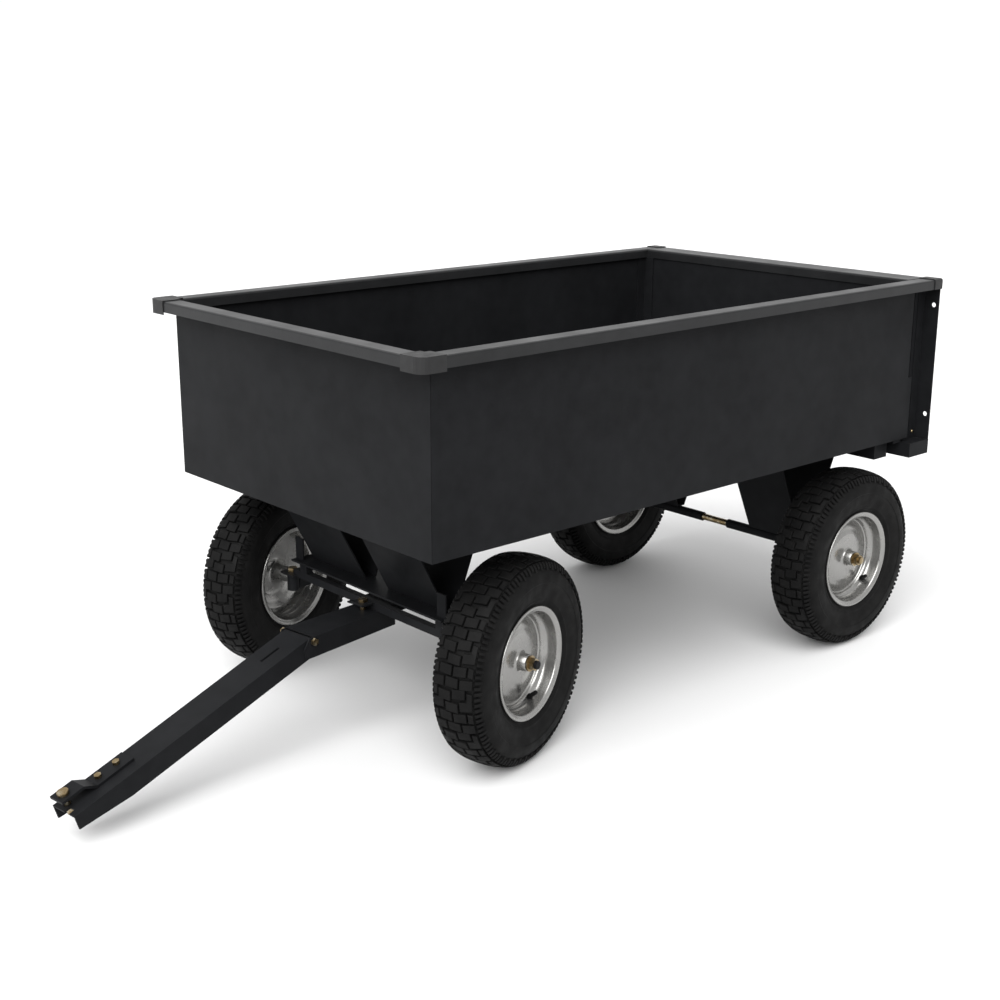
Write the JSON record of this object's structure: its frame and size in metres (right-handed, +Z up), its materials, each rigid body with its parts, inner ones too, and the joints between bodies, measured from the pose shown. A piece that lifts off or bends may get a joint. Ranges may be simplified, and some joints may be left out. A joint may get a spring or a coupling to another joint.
{
  "type": "garden cart",
  "caption": "Four-wheel steel garden cart with a deep tub, slide-out tailgate, knuckle steering on the front wheels and a hinged tow tongue with a pin hitch.",
  "frame": {"origin": "on the ground, under the middle of the whole cart's box with its wheels and tongue turned as stored", "axes": "+Z up; +Y along the cart towards its tailgate, so the tongue points to -Y; +X to the cart's own left"},
  "size_m": [0.9128, 2.0299, 0.8243],
  "materials": {
    "cart_paint": "satin charcoal powder coat",
    "rail_paint": "satin charcoal powder coat",
    "cap_plastic": "moulded black plastic",
    "tyre_rubber": "matte black rubber",
    "rim_steel": "silver painted stamped steel",
    "yellow_zinc": "yellow zinc plate",
    "bush_plastic": "plain bearing plastic"
  },
  "bodies": {
    "cart": {"bed_floor": "cart_paint", "corner_cap_front_left": "cap_plastic", "corner_cap_front_right": "cap_plastic", "corner_cap_rear_left": "cap_plastic", "corner_cap_rear_right": "cap_plastic", "floor_crossmember": "cart_paint", "front_axle_beam": "cart_paint", "front_bolster_base": "cart_paint", "front_bolster_leg_left": "cart_paint", "front_bolster_leg_right": "cart_paint", "front_panel": "cart_paint", "kingpin_left": "yellow_zinc", "kingpin_right": "yellow_zinc", "rear_axle": "yellow_zinc", "rear_axle_nut_left": "yellow_zinc", "rear_axle_nut_right": "yellow_zinc", "rear_axle_sleeve_left": "cart_paint", "rear_axle_sleeve_right": "cart_paint", "rear_bolster_leg_left": "cart_paint", "rear_bolster_leg_right": "cart_paint", "rear_sill": "cart_paint", "side_panel_left": "cart_paint", "side_panel_right": "cart_paint", "steering_pivot_bolt": "yellow_zinc", "tailgate_post_left": "cart_paint", "tailgate_post_right": "cart_paint", "top_rail_front": "rail_paint", "top_rail_left": "rail_paint", "top_rail_right": "rail_paint"},
    "wheel_front_left": {"tyre_front_left": "tyre_rubber", "rim_front_left": "rim_steel", "wheel_bush_front_left": "bush_plastic", "valve_stem_front_left": "tyre_rubber"},
    "wheel_front_right": {"tyre_front_right": "tyre_rubber", "rim_front_right": "rim_steel", "wheel_bush_front_right": "bush_plastic", "valve_stem_front_right": "tyre_rubber"},
    "wheel_rear_left": {"tyre_rear_left": "tyre_rubber", "rim_rear_left": "rim_steel", "wheel_bush_rear_left": "bush_plastic", "valve_stem_rear_left": "tyre_rubber"},
    "wheel_rear_right": {"tyre_rear_right": "tyre_rubber", "rim_rear_right": "rim_steel", "wheel_bush_rear_right": "bush_plastic", "valve_stem_rear_right": "tyre_rubber"},
    "knuckle_left": {"knuckle_left": "cart_paint", "spindle_nut_left": "yellow_zinc"},
    "knuckle_right": {"knuckle_right": "cart_paint", "spindle_nut_right": "yellow_zinc"},
    "tie_bar": {"tie_bar": "cart_paint"},
    "yoke": {"tongue_yoke": "cart_paint", "tongue_hinge_bolt": "yellow_zinc"},
    "drawbar": {"drawbar": "cart_paint", "hitch_strap": "cart_paint", "strap_bolt_front": "yellow_zinc", "strap_bolt_rear": "yellow_zinc"},
    "hitch_pin": {"hitch_pin": "yellow_zinc"},
    "tailgate": {"tailgate_panel": "cart_paint", "tailgate_rail": "rail_paint"}
  },
  "joints": [
    {"name": "tongue_steer", "type": "hinge", "parent": "cart", "child": "yoke", "pos_m": [0.01315, -0.30005, 0.235], "axis": [0, 0, 1], "range_deg": [-22.95, 7.05]},
    {"name": "knuckle_left_steer", "type": "hinge", "parent": "cart", "child": "knuckle_left", "pos_m": [0.29415, -0.27805, 0.23], "axis": [0, 0, 1], "range_deg": [-45.95, 14.15]},
    {"name": "knuckle_right_steer", "type": "hinge", "parent": "cart", "child": "knuckle_right", "pos_m": [-0.26785, -0.27805, 0.23], "axis": [0, 0, 1], "range_deg": [-45.95, 14.15]},
    {"name": "tie_bar_swing", "type": "hinge", "parent": "knuckle_left", "child": "tie_bar", "pos_m": [0.27771, -0.22035, 0.234], "axis": [0, 0, 1], "range_deg": [-14.15, 45.95]},
    {"name": "tongue_lift", "type": "hinge", "parent": "yoke", "child": "drawbar", "pos_m": [0.03683, -0.4696, 0.2207], "axis": [-0.9904, -0.1383, 0], "range_deg": [0, 55]},
    {"name": "hitch_pin_slide", "type": "slide", "parent": "drawbar", "child": "hitch_pin", "axis": [0.0404, -0.2896, 0.9563], "range_m": [0, 0.05]},
    {"name": "tailgate_slide", "type": "slide", "parent": "cart", "child": "tailgate", "axis": [0, 0, 1], "range_m": [0, 0.34]},
    {"name": "wheel_front_left_spin", "type": "hinge", "parent": "knuckle_left", "child": "wheel_front_left", "pos_m": [0.35717, -0.21019, 0.2032], "axis": [0.9617, 0.274, 0], "continuous": true},
    {"name": "wheel_rear_left_spin", "type": "hinge", "parent": "cart", "child": "wheel_rear_left", "pos_m": [0.38315, 0.78265, 0.2032], "axis": [1, 0, 0], "continuous": true},
    {"name": "wheel_front_right_spin", "type": "hinge", "parent": "knuckle_right", "child": "wheel_front_right", "pos_m": [-0.35717, -0.25358, 0.2032], "axis": [0.9617, 0.274, 0], "continuous": true},
    {"name": "wheel_rear_right_spin", "type": "hinge", "parent": "cart", "child": "wheel_rear_right", "pos_m": [-0.35685, 0.78265, 0.2032], "axis": [1, 0, 0], "continuous": true}
  ],
  "couplings": [
    {"joint": "knuckle_left_steer", "follows": "tongue_steer", "ratio": 2},
    {"joint": "knuckle_right_steer", "follows": "tongue_steer", "ratio": 2},
    {"joint": "tie_bar_swing", "follows": "tongue_steer", "ratio": -2}
  ]
}
